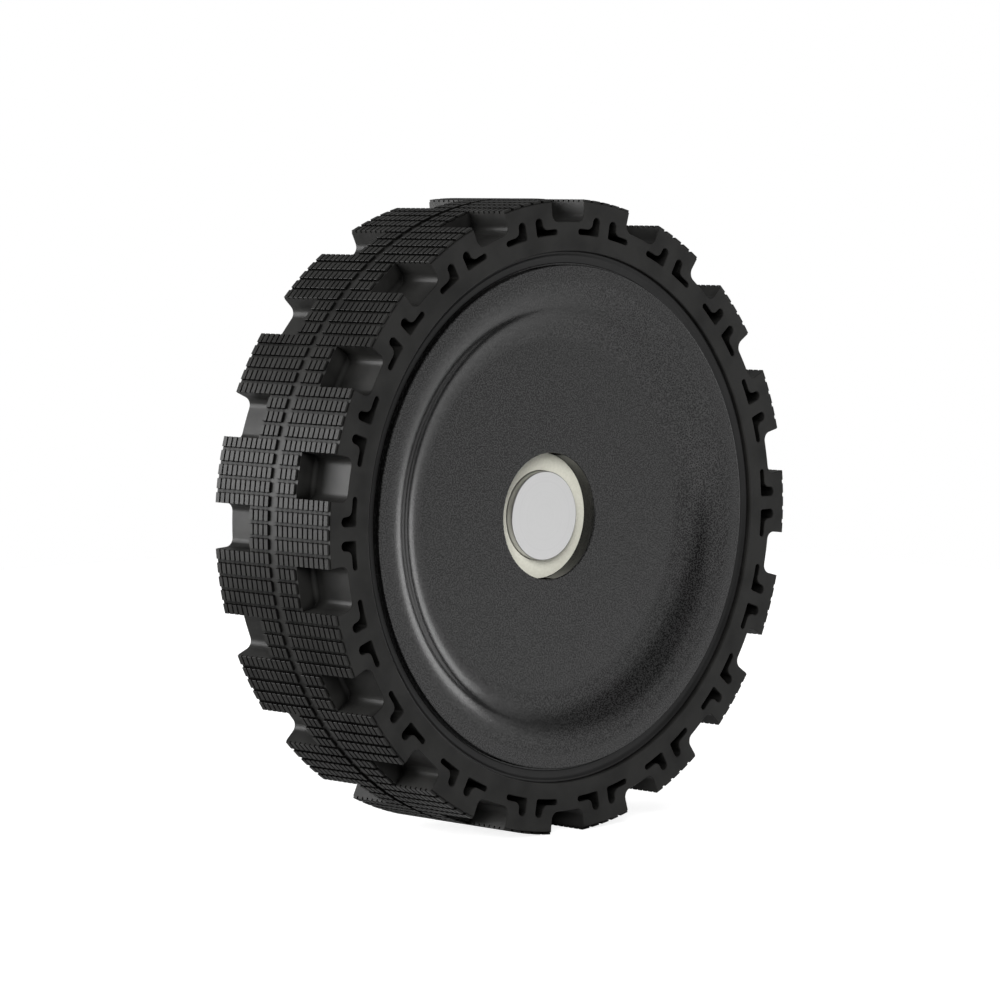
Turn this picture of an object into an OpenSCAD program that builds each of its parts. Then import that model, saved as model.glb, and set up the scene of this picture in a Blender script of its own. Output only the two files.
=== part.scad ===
/* [Tyre] */
// Diameter over the tread blocks
tyre_d = 150; // [140:1:170]
// Width from sidewall to sidewall
tyre_w = 40; // [38:1:50]
// Lugs on each side of the tyre
lug_count = 18; // [12:1:24]
// Rows of tread blocks on one lug
lug_rows = 5; // [3:1:7]
// Rows of tread blocks missing in one pocket
pocket_rows = 3; // [2:1:4]
// Gap between two rows, measured round the tread
row_gap = 0.92; // [0.5:0.01:1.2]
// Height of the tread blocks
block_h = 0.6; // [0.3:0.05:1]
// Depth of a pocket below the foot of the tread blocks
pocket_depth = 4.8; // [3:0.1:6]
// Length of a pocket from the sidewall inwards
pocket_len = 12.05; // [8:0.05:15]
// Rounding along the foot of a pocket's side walls
pocket_round = 1.35; // [0.5:0.05:2]
// Half width of the smooth band round the middle of the tread
band_half = 1.06; // [0.5:0.02:2]
// Depth of the lightening holes in each sidewall
relief_depth = 17; // [8:0.5:18]
// Width of a lightening hole's radial arm
relief_arm_w = 2; // [1.4:0.1:2.4]
// Width of a lightening hole's arm that runs round the tyre
relief_foot_w = 1.34; // [1:0.02:1.8]
// Rubber left between a lightening hole's foot and the rim
relief_floor = 4.4; // [3:0.1:4.6]
// Length of a lightening hole along the radius
relief_rise = 4.3; // [3:0.1:5]
// Half of the rubber rib between a lug's two lightening holes
relief_rib = 1.85; // [1.2:0.05:2.4]
// Angle from a lug's middle to the end of its lightening holes
relief_reach = 6.9; // [6:0.1:7.5]
// Rounding in the bend of a lightening hole
relief_round = 1.6; // [0.5:0.1:2]

/* [Rim] */
// Thickness of the tyre between its tread and the rim
tyre_t = 12.3; // [11.6:0.1:14]
// Wall of the rim outside the flux ring
rim_wall = 6.56; // [6:0.02:8]
// Height of the rib that keys the rim into the tyre
rim_rib_h = 1.6; // [0.8:0.1:2]
// Width of the rib that keys the rim into the tyre
rim_rib_w = 5; // [3:0.5:5.6]
// Depth of the rim's edges below the tyre's faces
rim_step = 1.1; // [0.6:0.1:1.6]
// Wall of the rim round the covers' seats
rim_lip_t = 2.8; // [2:0.1:3.2]

/* [Front cover] */
// Depth of the cover's edge below the tyre's face
cover_step = 0.3; // [0:0.05:0.6]
// Plate thickness of the front cover
cover_t = 2.6; // [2:0.1:3]
// Depth of the dished middle below the cover's edge
dish_depth = 5.75; // [5:0.05:6.5]
// Steepest angle of the dish's wall
dish_angle = 42; // [35:1:45]
// Width of the cover's flat edge, up to where it begins to roll over
dish_edge_w = 4.9; // [4:0.1:6]
// Radius of the roll at the dish's edge
dish_roll = 6; // [4:0.1:8]
// Radius of the curve at the dish's foot
dish_foot = 12.5; // [10:0.5:14]
// Height of the stiffening ribs behind the dish
cover_rib_h = 1.1; // [0.5:0.1:1.6]
// Stiffening ribs behind the dish
cover_rib_count = 9; // [5:1:12]
// Depth of the press seat in the rim
cover_seat = 5; // [4:0.1:5.6]

/* [Rear cover] */
// Thickness of the rear cover
rear_t = 3; // [2.5:0.1:3.4]
// Depth of the recesses between the rear cover's ribs
rear_recess = 1.2; // [0.4:0.1:1.5]
// Ribs on the rear cover
rear_rib_count = 9; // [5:1:12]
// Width of the ribs on the rear cover
rear_rib_w = 5; // [3:0.5:7]
// Thickness of the rear cover's gasket
gasket_t = 0.5; // [0.3:0.1:0.8]
// Height of the rear cover's locating spigot
spigot_h = 2; // [1.5:0.1:3]
// Screws that hold the rear cover
screw_count = 9; // [6:1:12]
// Thread diameter of the cover screws
screw_d = 3; // [2.5:0.1:3]
// Length of the cover screws
screw_len = 10; // [8:0.5:12]

/* [Axle] */
// Length of the axle outside the bracket seat
stub_len = 30; // [24:1:45]
// Diameter of the axle that the bracket holds
stub_d = 16; // [14:0.5:17]
// Length of the round journal that the bracket holds
journal_len = 10; // [8:1:14]
// Width across the two flats at the axle's end
flat_w = 12; // [11:0.5:13]
// Diameter of the cable's bore
cable_bore_d = 9; // [7:0.5:10]
// Distance from the bracket seat to the tyre
standoff = 3; // [2:0.1:4]
// Diameter of the axle's collar
collar_d = 26; // [25:0.5:28]
// Length of the axle's collar
collar_len = 5; // [4.4:0.1:5.4]
// Diameter of the seat under the stator
stator_seat_d = 22; // [21.5:0.1:23]
// Width and height of the stator's key
key_w = 4; // [3:0.5:4.5]
// Length of the stator's key
key_len = 5; // [4:0.5:6]
// Diameter of the spacer between the rear bearing and the bracket
spacer_d = 24; // [23:0.1:25]
// Diameter of the cap on the axle's front end
cap_d = 21.2; // [20.4:0.1:21.4]
// Height of the axle cap above the dust seal
cap_rise = 1.9; // [1:0.1:2.6]
// Diameter of the spigot that holds the axle cap
cap_pin_d = 8; // [6:0.5:10]

/* [Bearings] */
// Bore of the front bearing
front_bore = 17; // [16.5:0.1:17.2]
// Outer diameter of the front bearing
front_od = 30; // [29.6:0.1:30.6]
// Balls in the front bearing
front_balls = 11; // [8:1:11]
// Ball diameter of the front bearing
front_ball_d = 3.9; // [3.5:0.1:4]
// Bore of the rear bearing
rear_bore = 20; // [19.5:0.1:20.2]
// Outer diameter of the rear bearing
rear_od = 32; // [31.6:0.1:32.6]
// Balls in the rear bearing
rear_balls = 13; // [9:1:13]
// Ball diameter of the rear bearing
rear_ball_d = 3.5; // [3.2:0.1:3.7]
// Width of both bearings
bearing_w = 7; // [6.8:0.1:7.4]
// Depth of the dust seal below the dish's floor
seal_drop = 3.75; // [3:0.05:4.2]
// Thickness of both dust seals
seal_t = 1.1; // [0.8:0.05:1.15]
// Clearance round the turning shaft in a dust seal
seal_gap = 0.12; // [0.08:0.01:0.3]
// Radial clearance between balls and races
race_gap = 0.04; // [0.02:0.01:0.08]
// Wall of the bearing housings
housing_t = 3.5; // [2.5:0.1:4]
// Lip that holds each bearing in its housing
housing_lip = 1.4; // [1:0.1:2]

/* [Stator and rotor] */
// Wound teeth on the stator
tooth_count = 27; // [24:3:27]
// Magnets on the rotor
magnet_count = 30; // [26:2:32]
// Length of the laminated core
core_len = 13; // [11:0.5:14]
// Bore of the laminated core
core_bore_d = 54; // [52:0.5:55]
// Diameter of the core's yoke
yoke_d = 66; // [64:0.5:67]
// Width of a tooth
tooth_w = 4.4; // [4:0.1:4.6]
// Radial thickness of a tooth's shoe
shoe_t = 1.8; // [1.4:0.1:2.4]
// Opening between two shoes
slot_open = 2.2; // [1.6:0.1:3]
// Thickness of the slot insulation
liner_t = 0.3; // [0.2:0.05:0.4]
// Thickness of the insulators on the core's ends
insulator_t = 1; // [0.6:0.1:1.2]
// Gap between two coils that share a slot
coil_gap = 0.6; // [0.4:0.05:1]
// Height of a coil over the core's ends
coil_end = 2.3; // [1.6:0.1:2.5]
// Air gap between core and magnets
air_gap = 0.8; // [0.5:0.05:1]
// Thickness of the magnets
magnet_t = 3; // [2.6:0.1:3.2]
// Gap between two magnets
magnet_gap = 0.6; // [0.3:0.1:1]
// Overhang of the magnets past each end of the core
magnet_over = 1; // [0.5:0.1:1.4]
// Wall of the steel flux ring
flux_t = 2.6; // [2.2:0.1:2.8]
// Overhang of the flux ring past each end of the magnets
flux_over = 2; // [1:0.1:2.4]
// Thickness of the sensor board
board_t = 1.2; // [1:0.1:1.6]

/* [Hidden] */
$fn = 96;
// Overlap that lets one cut run past a face, and overlap that joins two shapes
cut = 1;
join = 0.2;
// Lap between two stretches of one bent plate
seam = 0.02;
// Clearance between pieces that are pressed or screwed together
fit = 0.02;
// Small chamfer on turned edges
bevel = 0.4;
// Facets round a small circle
small_fn = 32;

// Heights are measured from the bracket seat towards the front cover
tyre_r = tyre_d / 2;
tyre_rear = standoff;
tyre_front = standoff + tyre_w;
tyre_mid = standoff + tyre_w / 2;
tread_foot_r = tyre_r - block_h;
pocket_floor_r = tread_foot_r - pocket_depth;
row_count = lug_count * (lug_rows + pocket_rows);
row_step = 360 / row_count;
lug_step = 360 / lug_count;
block_len = 2 * PI * tyre_r / row_count - row_gap;
block_angle = block_len / tyre_r * 180 / PI;
pocket_half = lug_step / 2 - ((lug_rows - 1) * row_step + block_angle) / 2;
rim_r = tyre_r - tyre_t;
relief_r = rim_r + relief_floor;
relief_top_r = relief_r + relief_rise;

// Rim and covers
rim_relief = 0.8;
rim_stop_t = 2;
rim_front = tyre_front - rim_step;
rim_rib_rear = tyre_mid - rim_rib_w / 2;
rim_rib_front = tyre_mid + rim_rib_w / 2;
cover_r = rim_r - rim_lip_t;
cover_front = tyre_front - cover_step;
cover_seat_h = rim_front - cover_seat;
rear_face = tyre_rear + rim_step;
rear_inner = rear_face + rear_t;
rim_rear = rear_inner + gasket_t;
rear_cover_r = rim_r - bevel;
spigot_t = 2.2;
field_margin = 2;
rib_w = 2;

// Dish of the front cover, from the edge's roll to the foot's curve
dish_edge_r = cover_r - dish_edge_w;
dish_face = cover_front - dish_depth;
dish_back = dish_face - cover_t;
roll_drop = (dish_roll + dish_foot) * (1 - cos(dish_angle));
slope_len = (dish_depth - roll_drop) / sin(dish_angle);
roll_x = dish_edge_r - dish_roll * sin(dish_angle);
roll_h = cover_front - dish_roll * (1 - cos(dish_angle));
slope_x = roll_x - slope_len * cos(dish_angle);
slope_h = roll_h - slope_len * sin(dish_angle);
foot_x = slope_x - dish_foot * sin(dish_angle);
foot_h = dish_face + dish_foot;

// Bearings, axle and seals
front_seal_face = dish_face - seal_drop;
seal_play = 0.1;
front_bearing_h = front_seal_face - seal_t - seal_play - bearing_w;
cap_foot = front_bearing_h + bearing_w;
cap_face = front_seal_face + cap_rise;
lip_t = 1;
rear_lip_t = seal_t + seal_play;
rear_boss_rise = 0.3;
rear_bearing_h = rear_face - rear_boss_rise + rear_lip_t;
collar_rear = rear_bearing_h + bearing_w;
collar_front = collar_rear + collar_len;
cap_clear = 0.3;
axle_front = cap_foot - cap_clear;
spacer_inset = 0.6;
cap_pin_len = 6;
shield_t = 0.3;
shield_sink = 0.15;
shield_gap = 0.2;
shield_step = 0.4;
tip_step = 0.3;
tip_r = stub_d / 2 - tip_step;
window_w = 6;
window_wall = 0.7;
gland_len = 6;
gland_wall = 1.3;
gland_lip = 1;

// Races and cages, some as shares of the ball's diameter
land_share = 0.31;
cage_share = 0.14;
cage_edge = 0.5;
cage_play = 0.1;

// Stator between the collar and the front bearing
hub_clear = 0.7;
hub_boss_t = 5;
core_sink = 1.5;
hub_len = front_bearing_h - lip_t - hub_clear - collar_front;
hub_boss_r = stator_seat_d / 2 + hub_boss_t;
core_rear = collar_front - core_sink;
core_front = core_rear + core_len;
core_mid = (core_rear + core_front) / 2;
rim_bore_r = rim_r - rim_wall;
flux_out_r = rim_bore_r - fit;
flux_in_r = flux_out_r - flux_t;
magnet_in_r = flux_in_r - fit - magnet_t;
core_r = magnet_in_r - air_gap;
shoe_r = core_r - shoe_t;
coil_root = 1.4;
coil_shoulder = 1.3;
coil_round = 1;
coil_in_r = yoke_d / 2 + coil_root;
coil_out_r = shoe_r - coil_shoulder;
coil_mid_r = (coil_in_r + coil_out_r) / 2;
coil_bore_w = tooth_w + 2 * liner_t + 2 * fit;
magnet_rear = core_rear - magnet_over;
magnet_front = core_front + magnet_over;
flux_rear = magnet_rear - flux_over;
flux_front = magnet_front + flux_over;
screw_r = (rim_bore_r + rim_r) / 2;
screw_head_share = 1.84;
screw_socket_share = 0.77;
screw_socket_depth_share = 0.36;
screw_play = 0.4;
screw_end_gap = 0.5;
screw_head_d = screw_head_share * screw_d;
screw_head_h = (screw_head_d - screw_d) / 2;
screw_hole_d = screw_d + screw_play;

// Stator hub
hub_ring_t = 3.5;
hub_web_t = 4;
hub_web_step = 0.5;
hub_hole_d = 3.8;
hub_hole_count = 6;

// Insulators over the core's ends
insulator_inset = 0.6;
flange_t = 0.8;
flange_lap = 0.2;
slot_clear = 0.2;
edge_clear = 0.3;
liner_gap = 0.1;

// Sensor board, clear of the rear cover and of the coils
board_clear = 1.6;
board_rear = rim_rear + board_clear;
board_front = board_rear + board_t;
board_screw_d = 2;
board_screw_edge = 1.9;
board_screw_r = core_bore_d / 2 - board_screw_edge;
board_screw_grip = 4;
board_head_h = 0.9;
board_socket_r = 0.7;
board_socket_h = 0.5;
board_post_d = 3.5;
board_post_angles = [-30, 0, 30];
board_foot_in = 4.4;
board_foot_out = 3;
board_foot_half = 40;
board_arm_w = 12;
board_head_w = 6;
board_head_half = 14;
hall_angles = [-8, 0, 8];
hall_size = [4, 1.1];
hall_edge = 0.85;
hall_gap = 0.7;
hall_r = core_r - hall_edge;

// Turns a shape drawn as seen from the front upright, so that its height points to the front
module upright() {
  rotate([90, 0, 0]) children();
}

// Solid of revolution about the spin axis
module turned() {
  upright() rotate_extrude($fn = 180) children();
}

// Rectangle in a turned profile, between two radii and two heights
module band(r0, r1, h0, h1) {
  translate([r0, h0]) square([r1 - r0, h1 - h0]);
}

// Flat ring drawn as seen from the front
module ring(r0, r1) {
  difference() {
    circle(r = r1);
    circle(r = r0);
  }
}

// Copies of a shape round the spin axis, clockwise from the top
module round_axis(count, first = 0) {
  for (i = [0 : count - 1]) rotate([0, 0, -first - i * 360 / count]) children();
}

// Plate seen from the front, between two heights
module slab(h0, h1) {
  upright() translate([0, 0, h0]) linear_extrude(h1 - h0) children();
}

// Wedge about the upward radius, out to a given radius
module wedge(angle, r) {
  polygon([[0, 0], [-r * tan(angle), r], [r * tan(angle), r]]);
}

// Rectangle with round corners
module rounded(w, h, r) {
  square([w - 2 * r, h], center = true);
  square([w, h - 2 * r], center = true);
  for (x = [-1, 1], y = [-1, 1]) translate([x * (w / 2 - r), y * (h / 2 - r)])
    circle(r = r, $fn = small_fn);
}

// One lightening hole, an L with its bend next to the middle of the lug
module relief() {
  foot_r = relief_r + relief_foot_w / 2;
  arm_x = relief_rib + relief_arm_w / 2;
  arm_top = relief_top_r - relief_arm_w / 2;
  bend = [relief_rib + relief_arm_w, relief_r + relief_foot_w];
  far_r = 2 * relief_r;
  translate([arm_x, arm_top]) circle(d = relief_arm_w, $fn = small_fn);
  translate([relief_rib, relief_r + join]) square([relief_arm_w, arm_top - relief_r - join]);
  intersection() {
    ring(relief_r, relief_r + relief_foot_w);
    polygon([
      [relief_rib, relief_rib / tan(relief_reach)],
      [relief_rib, far_r],
      [far_r * tan(relief_reach), far_r]
    ]);
  }
  rotate([0, 0, -relief_reach]) translate([0, foot_r])
    circle(d = relief_foot_w + 2 * seam, $fn = small_fn);
  difference() {
    translate([bend.x - join, bend.y - join]) square(relief_round + join);
    translate([bend.x + relief_round, bend.y + relief_round])
      circle(r = relief_round, $fn = small_fn);
  }
}

// Pocket between two lugs, with its side walls along the radius and rounded feet
module pocket() {
  side_r = pocket_floor_r + pocket_round;
  corner = pocket_half - atan(pocket_round / side_r);
  top_r = tyre_r + cut;
  polygon([
    [-side_r * sin(pocket_half), side_r * cos(pocket_half)],
    [-top_r * tan(pocket_half), top_r],
    [top_r * tan(pocket_half), top_r],
    [side_r * sin(pocket_half), side_r * cos(pocket_half)]
  ]);
  polygon([
    [-side_r * sin(corner), side_r * cos(corner) + join],
    [side_r * sin(corner), side_r * cos(corner) + join],
    [pocket_floor_r * sin(corner), pocket_floor_r * cos(corner)],
    [-pocket_floor_r * sin(corner), pocket_floor_r * cos(corner)]
  ]);
  for (side = [-1, 1]) rotate([0, 0, side * corner]) translate([0, side_r])
    circle(r = pocket_round, $fn = small_fn);
}

// One side of the tyre before its pockets are cut, with the rows of tread blocks as ribs across it
module tread_side(first, h0, h1) {
  slab(h0, h1) difference() {
    union() {
      circle(r = tread_foot_r);
      round_axis(row_count, first) translate([-block_len / 2, tread_foot_r - join])
        square([block_len, block_h + join]);
    }
    circle(r = rim_r + fit);
  }
}

// Plate cut into a sidewall from outside, on the front with side 1 and on the rear with side -1
module sidewall_cut(side, depth) {
  h0 = side > 0 ? tyre_front - depth : tyre_rear - cut;
  slab(h0, h0 + depth + cut) children();
}

// Pockets and lightening holes of one side
module side_cuts(side, first) {
  sidewall_cut(side, pocket_len) round_axis(lug_count, first + lug_step / 2) pocket();
  sidewall_cut(side, relief_depth) round_axis(lug_count, first) for (flip = [0, 1])
    mirror([flip, 0]) relief();
}

// Solid rubber tyre, its two sides staggered by half a lug
module tyre() {
  color([0.3, 0.3, 0.29]) difference() {
    union() {
      tread_side(lug_step / 2, tyre_mid + band_half, tyre_front);
      slab(tyre_mid - band_half, tyre_mid + band_half) ring(rim_r + fit, tread_foot_r);
      tread_side(0, tyre_rear, tyre_mid - band_half);
    }
    side_cuts(1, lug_step / 2);
    side_cuts(-1, 0);
    turned() band(rim_r - join, rim_r + rim_rib_h + fit, rim_rib_rear - fit, rim_rib_front + fit);
  }
}

// Rim that carries the tyre outside and the flux ring inside
module rim() {
  step_r = rim_bore_r + rim_relief;
  step_h = flux_front + rim_stop_t;
  color([0.1, 0.1, 0.1]) difference() {
    turned() difference() {
      union() {
        band(flux_in_r, rim_r, rim_rear, rim_front);
        band(rim_r - join, rim_r + rim_rib_h, rim_rib_rear, rim_rib_front);
      }
      band(0, rim_bore_r, rim_rear - cut, flux_front + fit);
      band(0, step_r, step_h, cover_seat_h + join);
      band(0, cover_r + fit, cover_seat_h, rim_front + cut);
      translate([rim_r, rim_front]) circle(r = bevel, $fn = 4);
      translate([rim_r, rim_rear]) circle(r = bevel, $fn = 4);
    }
    upright() round_axis(screw_count) translate([0, screw_r, rim_rear - cut])
      cylinder(d = screw_d + 2 * fit, h = screw_len - rear_t - gasket_t + cut + screw_end_gap);
  }
}

// Steel ring that closes the magnets' field
module flux_ring() {
  color([0.45, 0.46, 0.48]) turned() band(flux_in_r, flux_out_r, flux_rear, flux_front);
}

// Curved magnets glued inside the flux ring
module magnets() {
  half = 180 / magnet_count - magnet_gap / 2 / magnet_in_r * 180 / PI;
  color([0.62, 0.63, 0.65]) slab(magnet_rear, magnet_front) round_axis(magnet_count)
    intersection() {
      ring(magnet_in_r, magnet_in_r + magnet_t);
      wedge(half, tyre_r);
    }
}

// Part of a bent plate, between two radii about a centre and inside a sector from one corner
module bend_piece(centre, r0, r1, a, b) {
  reach = 2 * r1;
  intersection() {
    translate(centre) ring(r0, r1);
    polygon([
      centre,
      centre + reach * [cos(a), sin(a)],
      centre + reach / cos((b - a) / 2) * [cos((a + b) / 2), sin((a + b) / 2)],
      centre + reach * [cos(b), sin(b)]
    ]);
  }
}

// Profile of the dished plate
module dish_profile() {
  along = [cos(dish_angle), sin(dish_angle)];
  inward = cover_t * [sin(dish_angle), -cos(dish_angle)];
  top = [roll_x, roll_h] + seam * along;
  low = [slope_x, slope_h] - seam * along;
  band(dish_edge_r - seam, cover_r, cover_front - cover_t, cover_front);
  roll_centre = [dish_edge_r, cover_front - dish_roll];
  bend_piece(roll_centre, dish_roll - cover_t, dish_roll, 90, 90 + dish_angle);
  polygon([top, low, low + inward, top + inward]);
  bend_piece([foot_x, foot_h], dish_foot, dish_foot + cover_t, -90, -90 + dish_angle);
  band(front_od / 2 + fit, foot_x + seam, dish_back, dish_face);
}

// Dished front cover with its bearing housing
module front_cover() {
  housing_r = front_od / 2 + fit;
  lip_h = front_bearing_h - lip_t;
  rib_foot = housing_r + housing_t - join;
  color([0.2, 0.2, 0.21]) union() {
    turned() difference() {
      union() {
        dish_profile();
        band(cover_r - rim_lip_t, cover_r, cover_seat_h + fit, cover_front - cover_t + join);
        band(housing_r, housing_r + housing_t, lip_h, dish_face - join);
        band(housing_r - housing_lip, housing_r + join, lip_h, front_bearing_h);
      }
      translate([cover_r, cover_front]) circle(r = bevel, $fn = 4);
      translate([housing_r, dish_face]) circle(r = bevel, $fn = 4);
    }
    slab(dish_back - cover_rib_h, dish_back + join) round_axis(cover_rib_count)
      translate([-rib_w / 2, rib_foot]) square([rib_w, foot_x - rib_foot]);
  }
}

// Ribbed rear cover with its bearing housing
module rear_cover() {
  housing_r = rear_od / 2 + fit;
  boss_r = housing_r + housing_t;
  lip_r = housing_r - housing_lip;
  lip_h = rear_bearing_h - rear_lip_t;
  field_in = boss_r + field_margin;
  field_out = rim_bore_r - 2 * field_margin;
  color([0.16, 0.16, 0.17]) difference() {
    turned() difference() {
      union() {
        band(lip_r, rear_cover_r, rear_face, rear_inner);
        band(rim_bore_r - spigot_t, rim_bore_r - fit, rear_inner - join, rear_inner + spigot_h);
        band(lip_r, boss_r, lip_h, rear_inner);
        band(housing_r, boss_r, rear_inner - join, collar_rear);
      }
      band(0, housing_r, rear_bearing_h, collar_rear + cut);
      translate([rear_cover_r, rear_face]) circle(r = bevel, $fn = 4);
      translate([lip_r, lip_h]) circle(r = bevel / 2, $fn = 4);
    }
    slab(rear_face - cut, rear_face + rear_recess) difference() {
      ring(field_in, field_out);
      round_axis(rear_rib_count, 180 / rear_rib_count) translate([-rear_rib_w / 2, 0])
        square([rear_rib_w, tyre_r]);
    }
    upright() round_axis(screw_count) translate([0, screw_r, rear_face]) {
      cylinder(d = screw_hole_d, h = rear_t + cut);
      translate([0, 0, -fit])
        cylinder(d1 = screw_head_d + 4 * fit, d2 = screw_d + 2 * fit, h = screw_head_h + fit);
    }
  }
}

// Thin gasket between rear cover and rim
module cover_gasket() {
  color([0.12, 0.12, 0.12]) slab(rear_inner, rim_rear) difference() {
    ring(rim_bore_r, rear_cover_r);
    round_axis(screw_count) translate([0, screw_r]) circle(d = screw_hole_d);
  }
}

// Countersunk screws with hexagon sockets
module cover_screws() {
  socket_d = screw_socket_share * screw_d;
  socket_h = screw_socket_depth_share * screw_d;
  color([0.75, 0.75, 0.77]) upright() round_axis(screw_count) translate([0, screw_r, rear_face])
    difference() {
      union() {
        cylinder(d1 = screw_head_d, d2 = screw_d, h = screw_head_h);
        cylinder(d = screw_d, h = screw_len);
      }
      translate([0, 0, -cut]) cylinder(d = socket_d, h = cut + socket_h, $fn = 6);
    }
}

// Dust seal in front of the front bearing
module front_seal() {
  color([0.85, 0.85, 0.78]) turned()
    band(cap_d / 2 + seal_gap, front_od / 2, front_seal_face - seal_t, front_seal_face);
}

// Dust seal round the axle spacer
module rear_seal() {
  seal_h = rear_bearing_h - rear_lip_t;
  color([0.14, 0.14, 0.14]) turned()
    band(spacer_d / 2 + seal_gap, rear_od / 2 - housing_lip, seal_h, seal_h + seal_t);
}

// Inner ring of a ball bearing, with its groove
module inner_ring(bore, od, ball_d, h) {
  pitch_r = (bore + od) / 4;
  turned() difference() {
    band(bore / 2, pitch_r - ball_d * land_share, h, h + bearing_w);
    translate([pitch_r, h + bearing_w / 2]) circle(d = ball_d + 2 * race_gap);
    for (edge = [h, h + bearing_w]) translate([bore / 2, edge]) circle(r = bevel / 2, $fn = 4);
  }
}

// Outer ring of a ball bearing, with its groove and its seats for the shields
module outer_ring(bore, od, ball_d, h) {
  pitch_r = (bore + od) / 4;
  land_r = pitch_r + ball_d * land_share;
  seat_r = land_r + shield_step + fit;
  seat_t = shield_sink + shield_t + fit;
  turned() difference() {
    band(land_r, od / 2, h, h + bearing_w);
    translate([pitch_r, h + bearing_w / 2]) circle(d = ball_d + 2 * race_gap);
    for (edge = [h, h + bearing_w]) translate([od / 2, edge]) circle(r = bevel / 2, $fn = 4);
    band(0, seat_r, h - cut, h + seat_t);
    band(0, seat_r, h + bearing_w - seat_t, h + bearing_w + cut);
  }
}

// Pair of shields that close a bearing
module shields(bore, od, ball_d, h) {
  pitch_r = (bore + od) / 4;
  r0 = pitch_r - ball_d * land_share + shield_gap;
  r1 = pitch_r + ball_d * land_share + shield_step;
  for (foot = [h + shield_sink, h + bearing_w - shield_sink - shield_t])
    turned() band(r0, r1, foot, foot + shield_t);
}

// Balls of a bearing
module balls(bore, od, ball_d, count, h) {
  upright() round_axis(count) translate([0, (bore + od) / 4, h + bearing_w / 2])
    sphere(d = ball_d, $fn = 48);
}

// Cage that keeps the balls apart
module cage(bore, od, ball_d, count, h) {
  pitch_r = (bore + od) / 4;
  mid = h + bearing_w / 2;
  half_t = ball_d * cage_share;
  half_w = ball_d / 2 + cage_edge;
  difference() {
    turned() band(pitch_r - half_t, pitch_r + half_t, mid - half_w, mid + half_w);
    upright() round_axis(count) translate([0, pitch_r, mid]) rotate([90, 0, 0])
      cylinder(d = ball_d + cage_play, h = 4 * half_t, center = true);
  }
}

module front_bearing_outer() {
  color([0.7, 0.71, 0.73]) outer_ring(front_bore, front_od, front_ball_d, front_bearing_h);
}

module rear_bearing_outer() {
  color([0.7, 0.71, 0.73]) outer_ring(rear_bore, rear_od, rear_ball_d, rear_bearing_h);
}

module front_bearing_inner() {
  color([0.7, 0.71, 0.73]) inner_ring(front_bore, front_od, front_ball_d, front_bearing_h);
}

module rear_bearing_inner() {
  color([0.7, 0.71, 0.73]) inner_ring(rear_bore, rear_od, rear_ball_d, rear_bearing_h);
}

module front_bearing_shields() {
  color([0.6, 0.61, 0.63]) shields(front_bore, front_od, front_ball_d, front_bearing_h);
}

module rear_bearing_shields() {
  color([0.6, 0.61, 0.63]) shields(rear_bore, rear_od, rear_ball_d, rear_bearing_h);
}

module front_bearing_balls() {
  color([0.8, 0.81, 0.83]) balls(front_bore, front_od, front_ball_d, front_balls, front_bearing_h);
}

module rear_bearing_balls() {
  color([0.8, 0.81, 0.83]) balls(rear_bore, rear_od, rear_ball_d, rear_balls, rear_bearing_h);
}

module front_bearing_cage() {
  color([0.72, 0.6, 0.3]) cage(front_bore, front_od, front_ball_d, front_balls, front_bearing_h);
}

module rear_bearing_cage() {
  color([0.72, 0.6, 0.3]) cage(rear_bore, rear_od, rear_ball_d, rear_balls, rear_bearing_h);
}

// Stepped axle, bored for the cable from its rear end to the window in its collar
module axle() {
  bore_end = collar_front - window_wall;
  key_room = key_w + 2 * fit;
  color([0.66, 0.67, 0.69]) difference() {
    turned() difference() {
      union() {
        band(0, tip_r, -stub_len, join - journal_len);
        band(0, stub_d / 2, -journal_len, spacer_inset + join);
        band(0, rear_bore / 2 - fit, spacer_inset, collar_rear + join);
        band(0, collar_d / 2, collar_rear, collar_front);
        band(0, stator_seat_d / 2, collar_front - join, front_bearing_h);
        band(0, front_bore / 2 - fit, front_bearing_h - join, axle_front);
      }
      translate([tip_r, -stub_len]) circle(r = 2 * bevel, $fn = 4);
      translate([front_bore / 2, axle_front]) circle(r = bevel, $fn = 4);
      translate([collar_d / 2, collar_rear]) circle(r = bevel, $fn = 4);
    }
    upright() translate([0, 0, -stub_len - cut])
      cylinder(d = cable_bore_d, h = stub_len + cut + bore_end);
    upright() translate([0, 0, cap_foot - cap_pin_len - cap_clear])
      cylinder(d = cap_pin_d + 2 * fit, h = cap_pin_len + cut);
    slab(collar_rear + window_wall, bore_end) translate([-window_w / 2, -collar_d])
      square([window_w, collar_d]);
    slab(-stub_len - cut, -journal_len) for (side = [-1, 1])
      translate([side * (flat_w / 2 + stub_d / 2), 0]) square([stub_d, 2 * stub_d], center = true);
    upright() translate([0, stator_seat_d / 2, collar_front + hub_len / 2])
      cube([key_room, key_room, key_len + 2 * fit], center = true);
  }
}

// Round cap pressed into the axle's front end
module axle_cap() {
  color([0.82, 0.82, 0.83]) turned() difference() {
    union() {
      band(0, cap_d / 2, cap_foot, cap_face);
      band(0, cap_pin_d / 2, cap_foot - cap_pin_len, cap_foot + join);
    }
    translate([cap_d / 2, cap_face]) circle(r = bevel / 2, $fn = 4);
    translate([cap_pin_d / 2, cap_foot - cap_pin_len]) circle(r = bevel, $fn = 4);
  }
}

// Spacer that the bracket clamps against the rear bearing
module axle_spacer() {
  color([0.7, 0.71, 0.72]) turned() difference() {
    band(rear_bore / 2 + fit, spacer_d / 2, 0, rear_bearing_h);
    translate([spacer_d / 2, 0]) circle(r = bevel, $fn = 4);
  }
}

// Key between axle and stator hub
module axle_key() {
  color([0.55, 0.56, 0.58]) upright() translate([0, stator_seat_d / 2, collar_front + hub_len / 2])
    cube([key_w, key_w, key_len], center = true);
}

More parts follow.
